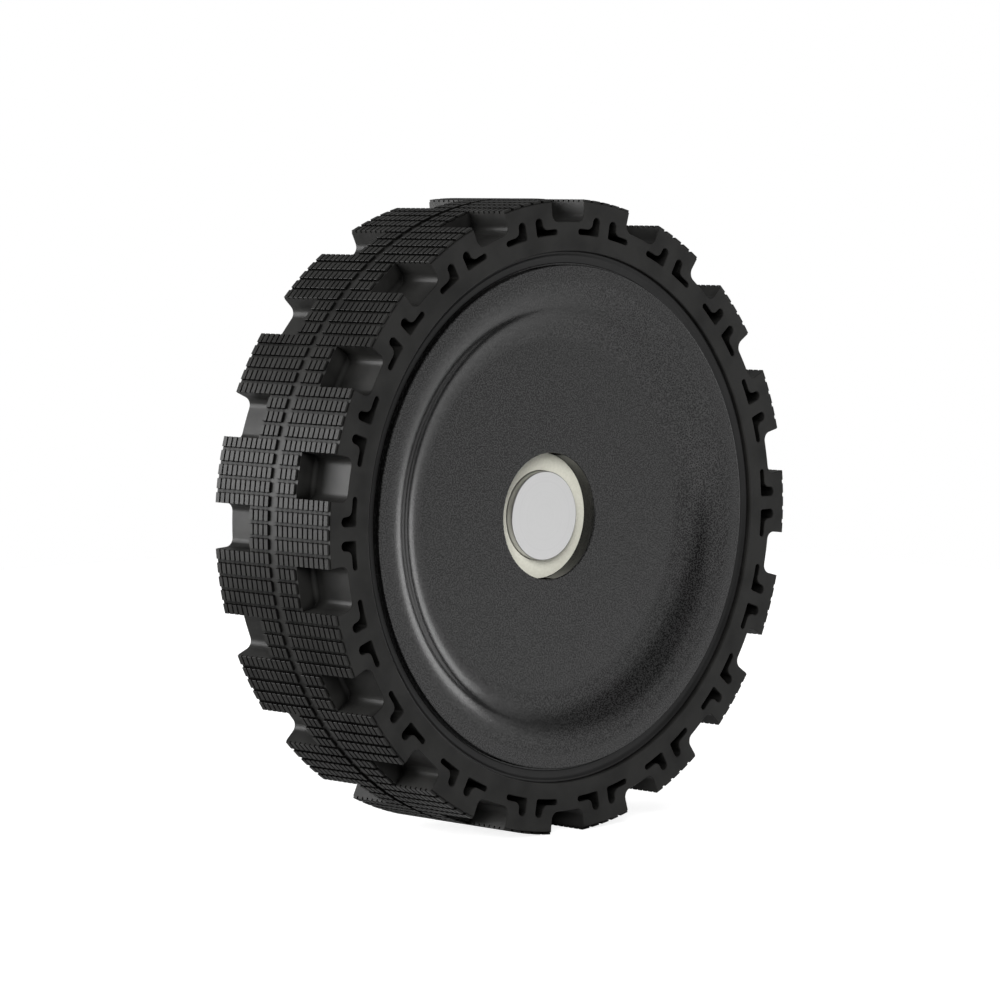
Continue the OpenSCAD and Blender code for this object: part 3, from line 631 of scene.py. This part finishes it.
def pocket_surface():
    rings = [(mould_edge, 0), (pocket_len - inner_round, 0)]
    for k in range(1, wall_steps + 1):
        a = math.radians(90 * k / wall_steps)
        back, rise = 1 - math.sin(a), 1 - math.cos(a)
        rings.append((pocket_len - inner_round * back, inner_round * rise))
    faces = []
    for (near, low), (far, high) in zip(rings, rings[1:]):
        for a, b in zip(pocket_angles, pocket_angles[1:]):
            faces.append([
                in_tyre(max(pocket_r(a), floor_r + low), a, near),
                in_tyre(max(pocket_r(b), floor_r + low), b, near),
                in_tyre(max(pocket_r(b), floor_r + high), b, far),
                in_tyre(max(pocket_r(a), floor_r + high), a, far),
            ])
    top = floor_r + inner_round
    for a, b in zip(pocket_angles, pocket_angles[1:]):
        faces.append([
            in_tyre(max(pocket_r(a), top), a, pocket_len),
            in_tyre(max(pocket_r(b), top), b, pocket_len),
            in_tyre(foot_r, b, pocket_len),
            in_tyre(foot_r, a, pocket_len),
        ])
    upper = [d for d in depth_lines if d < pocket_len - 0.001] + [pocket_len]
    lower = [near for near, _ in rings]
    for a in (lug_half, 2 * pocket_mid - lug_half):
        side = [in_tyre(foot_r, a, d) for d in upper]
        side += [in_tyre(pocket_r(a), a, d) for d in reversed(lower)]
        faces.append(side)
    return faces


# %% [markdown]
# ## Sidewall with its lightening holes
# Two L-shaped holes leave a rib of rubber under each lug. They could be cut with a boolean,
# but the sidewall is flat, so a fill from its outlines makes it in one go with clean edges.
# A fine chamfer goes round each edge, because no moulded edge is perfectly sharp.

# %% Outlines of one lug's sidewall
relief_floor_r = 66.65
relief_foot = 1.34
relief_top_r = 70.95
relief_rib = 1.65
relief_arm = 2.2
relief_reach = 6.5
relief_round = 1.6
relief_heel = 0.5
relief_depth = 17.0
bore_r = 62.72
bore_round = 0.4
bore_steps = 20
bore_lines = [float(a) for a in np.linspace(-pocket_mid, pocket_mid, bore_steps + 1)]


def relief_loop(side):
    """Outline of one lightening hole, as (x, z) points on the sidewall."""
    foot_top = relief_floor_r + relief_foot
    arm_end = relief_rib + relief_arm
    arm_tip = relief_arm / 2 - 0.02
    foot_tip = relief_foot / 2 - 0.02
    tip = relief_reach + math.degrees(relief_foot / 2 / relief_floor_r)
    along_floor = [(relief_floor_r, a, 0) for a in (2.8, 3.8, 4.8, 5.7)]
    round_tip = [(relief_floor_r, tip, foot_tip), (foot_top, tip, foot_tip)]
    along_top = [(foot_top, a, 0) for a in (5.7, 5.2)]
    corners = [(relief_rib, relief_top_r, arm_tip), (relief_rib, relief_floor_r, relief_heel)]
    for r, a, rounding in along_floor + round_tip + along_top:
        corners.append((r * math.sin(math.radians(a)), r * math.cos(math.radians(a)), rounding))
    corners.append((arm_end, math.sqrt(foot_top**2 - arm_end**2), relief_round))
    corners.append((arm_end, relief_top_r, arm_tip))
    loop = rounded_loop(corners)
    return loop if side > 0 else [(-x, z) for x, z in reversed(loop)]


def lug_outline():
    """The whole tyre's outline as (x, z) points, from the middle of a pocket clockwise."""
    top = [row * row_step + side * block_half for row in range(-2, 3) for side in (-1, 1)]
    one = [(a - 2 * pocket_mid, pocket_r(a)) for a in pocket_angles if a > pocket_mid - 0.001]
    one += [(a, foot_r) for a in top]
    one += [(a, pocket_r(a)) for a in pocket_angles if a < pocket_mid - 0.001]
    flat = [(a + k * 2 * pocket_mid, r) for k in range(lug_count) for a, r in one]
    turns = [(math.radians(a), r) for a, r in flat]
    return [(r * math.sin(a), r * math.cos(a)) for a, r in turns], len(one)


def at_depth(loop, depth):
    return [(x, depth - tyre_front, z) for x, z in loop]


def strip(near, far, closed=True):
    """Quads between two loops of the same length."""
    first = 0 if closed else 1
    return [[near[k - 1], near[k], far[k], far[k - 1]] for k in range(first, len(near))]


def filled(outer, holes=()):
    """Triangles of a flat face with holes."""
    loops = [outer, *holes]
    corners = [p for loop in loops for p in loop]
    triangles = tessellate_polygon([[Vector(p) for p in loop] for loop in loops])
    return [[corners[i] for i in triangle] for triangle in triangles]


def lug_sidewall():
    outline, per_lug = lug_outline()
    inner = offset_loop(outline, mould_edge)
    edge = at_depth(outline[: per_lug + 1], mould_edge)
    face_edge = at_depth(inner[: per_lug + 1], 0)
    faces = strip(edge, face_edge, closed=False)
    holes = []
    for side in (-1, 1):
        loop = relief_loop(side)
        mouth = at_depth(offset_loop(loop, mould_edge), 0)
        wall = at_depth(loop, mould_edge)
        end = at_depth(loop, relief_depth)
        faces += strip(mouth, wall) + strip(wall, end) + filled(end)
        holes.append(mouth)
    bore = [in_tyre(bore_r + bore_round, a, 0) for a in reversed(bore_lines)]
    return faces + filled(face_edge + bore, holes)


# %% [markdown]
# ## Bore of the tyre
# The bore's edge is rounded, and a groove in its middle takes the rim's rib. It could be
# turned like the rim, but laid down lug by lug it meets the sidewall corner for corner.

# %% Bore and the finished tyre
groove_r = 64.32
groove_half = 2.52


def lug_bore():
    edge = arc((bore_r + bore_round, bore_round), bore_round, 270, 180, 4)
    groove_start = half_width - groove_half
    profile = [*edge, (bore_r, groove_start), (groove_r, groove_start), (groove_r, half_width)]
    rings = [[in_tyre(r, a, depth) for a in bore_lines] for r, depth in profile]
    faces = []
    for near, far in zip(rings, rings[1:]):
        faces += strip(near, far, closed=False)
    return faces


one_lug = lug_tread() + pocket_surface() + lug_sidewall() + lug_bore()
front_half = repeated(one_lug, lug_count, first=pocket_mid)
rear_half = flipped(repeated(one_lug, lug_count), tyre_mid)
make_piece("tyre_tread", front_half + rear_half, rubber, "wheel", ["tyre"])

# %% [markdown]
# ## Dished front cover
# The cover is a pressed plate: a flat edge, and two wide curves of equal radius that meet
# halfway down and lead into the flat middle. It could be modelled with a subdivision surface,
# but a turned profile of true arcs keeps the bands of light clean on the dark coat.

# %% Profile of the cover
dish_edge_r = 57.2
dish_roll = 12.85
dish_foot = 12.85
dish_angle = 39.0
dish_depth = 5.75
cover_t = 2.6
arc_steps = 24
edge_round = 0.35
edge_gap = 0.4
edge_gap_depth = 0.6
fit = 0.02
housing_t = 3.5
skirt_t = 2.8
skirt_h = 5.0


def dish_curve(lift):
    """The dish's upper line, or a line parallel to it at a depth."""
    sine, cosine = math.sin(math.radians(dish_angle)), math.cos(math.radians(dish_angle))
    slope = (dish_depth - (dish_roll + dish_foot) * (1 - cosine)) / sine
    roll = (dish_edge_r, cover_front - dish_roll)
    flat_r = dish_edge_r - (dish_roll + dish_foot) * sine - slope * cosine
    foot = (flat_r, cover_front - dish_depth + dish_foot)
    line = arc(roll, dish_roll - lift, 90, 90 + dish_angle, arc_steps)
    return line + arc(foot, dish_foot + lift, dish_angle - 90, -90, arc_steps)


def cover_profile():
    hole = hole_r + fit
    housing = hole + housing_t
    skirt_r = cover_r - skirt_t
    skirt_foot = rim_front - skirt_h + fit
    face = cover_front - dish_depth
    top_r = cover_r - edge_gap
    ledge = rim_front - edge_gap_depth
    upper = [(top_r - edge_round, cover_front)]
    upper += dish_curve(0)
    upper += arc((hole + edge_round, face - edge_round), edge_round, 90, 180, 4)
    lower = [(hole, cover_back), (housing, cover_back), (housing, face - cover_t)]
    lower += list(reversed(dish_curve(cover_t)))
    lower += [(skirt_r, cover_front - cover_t), (skirt_r, skirt_foot), (cover_r, skirt_foot)]
    lower += [(cover_r, ledge), (top_r, ledge)]
    edge = arc((top_r - edge_round, cover_front - edge_round), edge_round, 0, 90, 4)
    return upper + lower + edge[:-1]


cover_sharp = 40
cover_faces = turned(cover_profile())
make_piece(
    "front_cover_dish", cover_faces, grained, "wheel", ["front_cover"], cover_sharp
)

# %% [markdown]
# ## Rim, seal and cap
# The rim carries the tyre on a rib in its middle, and its front has a shallow gutter round
# the cover. The seal is an ivory ring at the bottom of the cover's hole, and the cap closes
# the end of the axle. All three are turned too, from corners with a rounding each.

# %% Rim
rim_r = bore_r - fit
gutter = 0.6
gutter_r = 61.5
gutter_top_r = 62.25
rib_r = rim_r + 1.6
rib_half = 2.5
rim_bore_r = 56.14
magnet_stop_r = 53.6
magnet_stop_rear = 31.54
magnet_stop_front = 33.5
skirt_seat_r = 56.94
skirt_seat = 36.9


def rim_profile():
    bore = cover_r + fit
    return rounded_loop([
        (bore, rim_front - gutter, 0.2),
        (gutter_r, rim_front - gutter, 1.2),
        (gutter_top_r, rim_front, 0.25),
        (rim_r, rim_front, 0.1),
        (rim_r, tyre_mid + rib_half, 0),
        (rib_r, tyre_mid + rib_half, 0.2),
        (rib_r, tyre_mid - rib_half, 0.2),
        (rim_r, tyre_mid - rib_half, 0),
        (rim_r, rim_rear, 0.3),
        (rim_bore_r, rim_rear, 0.2),
        (rim_bore_r, magnet_stop_rear, 0),
        (magnet_stop_r, magnet_stop_rear, 0),
        (magnet_stop_r, magnet_stop_front, 0),
        (skirt_seat_r, magnet_stop_front, 0),
        (skirt_seat_r, skirt_seat, 0),
        (bore, skirt_seat, 0),
    ])


make_piece("rim_ring", turned(rim_profile()), smooth, "wheel", ["rim"])

# %% Seal and cap
seal_gap = 0.12
seal_inner = cap_r + seal_gap
cap_stem_r = 4
cap_head_rear = 32.0


def seal_profile():
    return rounded_loop([
        (seal_inner, seal_back, 0),
        (seal_inner, seal_face, 0.15),
        (hole_r, seal_face, 0.1),
        (hole_r, seal_back, 0),
    ])


def cap_profile():
    return rounded_loop([
        (0, cap_foot, 0),
        (0, cap_face, 0),
        (cap_r, cap_face, 0.3),
        (cap_r, cap_head_rear, 0.1),
        (cap_stem_r, cap_head_rear, 0),
        (cap_stem_r, cap_foot, 0.3),
    ])


seal_faces = turned(seal_profile())
cap_faces = turned(cap_profile())
make_piece("front_seal_ring", seal_faces, ivory, "wheel", ["front_seal"])
make_piece("axle_cap_disc", cap_faces, cap_metal, "axle_assembly", ["axle_cap"])

# %% [markdown]
# ## Camera
# The view was found by fitting a camera to the corners of the lugs. The lens is long, so the
# wheel hardly tapers, and a small shift sets it in the square frame.

# %% Camera
wheel_centre = Vector((0, -tyre_mid * MM, 0))
view_azimuth = math.radians(-43.6)
view_elevation = math.radians(4.45)
view_distance = 1.0305
camera_data = bpy.data.cameras.new("camera")
camera_data.sensor_width = 36
camera_data.lens = 155.22
camera_data.shift_x = -0.0094
camera_data.shift_y = 0.0129
camera_data.clip_end = 20
camera = bpy.data.objects.new("camera", camera_data)
back = Vector((
    math.sin(view_azimuth) * math.cos(view_elevation),
    -math.cos(view_azimuth) * math.cos(view_elevation),
    math.sin(view_elevation),
))
camera.location = wheel_centre + back * view_distance
camera.rotation_mode = "QUATERNION"
camera.rotation_quaternion = (-back).to_track_quat("-Z", "Y")
bpy.context.scene.collection.objects.link(camera)
bpy.context.scene.camera = camera
print("camera at", [round(v, 3) for v in camera.location])

# %% [markdown]
# ## Studio
# This is a plain product picture on white. The world and the floor read as white to the
# camera, but light the wheel at a lower, plain level, so the blacks stay black. Black shapes
# are drawn by what they reflect: gloss sees the white in front and to the right, and a
# darker room behind, above and to the left.

# %% Floor and world
def math_node(tree, operation, a, b):
    node = tree.nodes.new("ShaderNodeMath")
    node.operation = operation
    for value, socket in zip((a, b), node.inputs):
        if isinstance(value, float):
            socket.default_value = value
        else:
            tree.links.new(value, socket)
    return node.outputs[0]


def seen_white(tree, plain, bright, gloss_share):
    """Mixes a plain shader with a white glow that the camera and glass see, and gloss in part."""
    path = tree.nodes.new("ShaderNodeLightPath")
    gloss = math_node(tree, "MULTIPLY", path.outputs["Is Glossy Ray"], gloss_share)
    camera_ray, glass_ray = path.outputs["Is Camera Ray"], path.outputs["Is Transmission Ray"]
    clear = math_node(tree, "MAXIMUM", camera_ray, glass_ray)
    mix = tree.nodes.new("ShaderNodeMixShader")
    tree.links.new(math_node(tree, "MAXIMUM", clear, gloss), mix.inputs["Fac"])
    tree.links.new(plain, mix.inputs[1])
    tree.links.new(bright, mix.inputs[2])
    return mix.outputs[0]


def fading_along(tree, place, way, low, high, least=0.0):
    """Share that falls from one to nothing between two places along a way."""
    along = tree.nodes.new("ShaderNodeVectorMath")
    along.operation = "DOT_PRODUCT"
    tree.links.new(place, along.inputs[0])
    along.inputs[1].default_value = way
    fade = tree.nodes.new("ShaderNodeMapRange")
    fade.inputs["From Min"].default_value = low
    fade.inputs["From Max"].default_value = high
    fade.inputs["To Min"].default_value = 1
    fade.inputs["To Max"].default_value = least
    tree.links.new(along.outputs["Value"], fade.inputs["Value"])
    return fade.outputs["Result"]


world_level = 0.2
white_level = 1.0
print("the world lights at", world_level, "and is seen at", white_level)
sky_dark_way = (-0.5, 0.5, 0.7)
world = bpy.data.worlds.new("studio")
world.use_nodes = True
tree = world.node_tree
sky = tree.nodes["Background"]
sky.inputs["Color"].default_value = (1, 1, 1, 1)
sky.inputs["Strength"].default_value = world_level
white = tree.nodes.new("ShaderNodeBackground")
white.inputs["Color"].default_value = (1, 1, 1, 1)
white.inputs["Strength"].default_value = white_level
sky_place = tree.nodes.new("ShaderNodeTexCoord").outputs["Generated"]
in_gloss = fading_along(tree, sky_place, sky_dark_way, -0.45, -0.1, 0.08)
seen = seen_white(tree, sky.outputs[0], white.outputs[0], in_gloss)
tree.links.new(seen, tree.nodes["World Output"].inputs["Surface"])
bpy.context.scene.world = world

floor_half = 0.6
floor_z = -tyre_r * MM
floor_glow_level = 0.85
floor_dark_way = (0, 1, 0)
floor_mesh = bpy.data.meshes.new("floor")
floor_mesh.from_pydata(
    [(x * floor_half, y * floor_half, floor_z) for x, y in ((-1, -1), (1, -1), (1, 1), (-1, 1))],
    [],
    [(0, 1, 2, 3)],
)
floor = bpy.data.objects.new("floor", floor_mesh)
bpy.context.scene.collection.objects.link(floor)
floor_paint = finish_of("floor_paint", (0.5, 0.5, 0.5), 0.9, specular=0.0)
floor_tree = floor_paint.node_tree
floor_glow = floor_tree.nodes.new("ShaderNodeEmission")
floor_glow.inputs["Color"].default_value = (1, 1, 1, 1)
floor_glow.inputs["Strength"].default_value = floor_glow_level
floor_shade = floor_tree.nodes.new("ShaderNodeAddShader")
painted = floor_tree.nodes["Principled BSDF"].outputs[0]
floor_tree.links.new(painted, floor_shade.inputs[0])
floor_tree.links.new(floor_glow.outputs[0], floor_shade.inputs[1])
floor_place = floor_tree.nodes.new("ShaderNodeTexCoord").outputs["Object"]
in_gloss = fading_along(floor_tree, floor_place, floor_dark_way, -0.12, 0.0, 0.05)
seen = seen_white(floor_tree, painted, floor_shade.outputs[0], in_gloss)
floor_tree.links.new(seen, floor_tree.nodes["Material Output"].inputs["Surface"])
floor_mesh.materials.append(floor_paint)

# %% [markdown]
# ## Lamps
# Three soft square lamps light the wheel. The key stands high at the front left and gives no
# reflections, or it would show as a bright patch in the dish. A low one behind at the left
# shines along the tread, and a weak one at the right lifts the shade.

# %% Place the lamps
def soft_lamp(name, place_at, size, power):
    data = bpy.data.lights.new(name, "AREA")
    data.shape = "SQUARE"
    data.size = size
    data.energy = power
    lamp = bpy.data.objects.new(name, data)
    lamp.location = place_at
    lamp.rotation_mode = "QUATERNION"
    lamp.rotation_quaternion = (wheel_centre - Vector(place_at)).to_track_quat("-Z", "Y")
    bpy.context.scene.collection.objects.link(lamp)
    return lamp


soft_lamp("back_left", (-1.05, 1.1, 0.1), 1.1, 44)
soft_lamp("side_right", (1.5, -0.15, 0.0), 0.8, 4)
key = soft_lamp("key_high", (-1.15, -1.1, 0.75), 0.9, 30)
key.visible_glossy = False
print("lamps:", [(lamp.name, lamp.energy) for lamp in bpy.data.lights])
bpy.context.scene.view_settings.view_transform = "Standard"
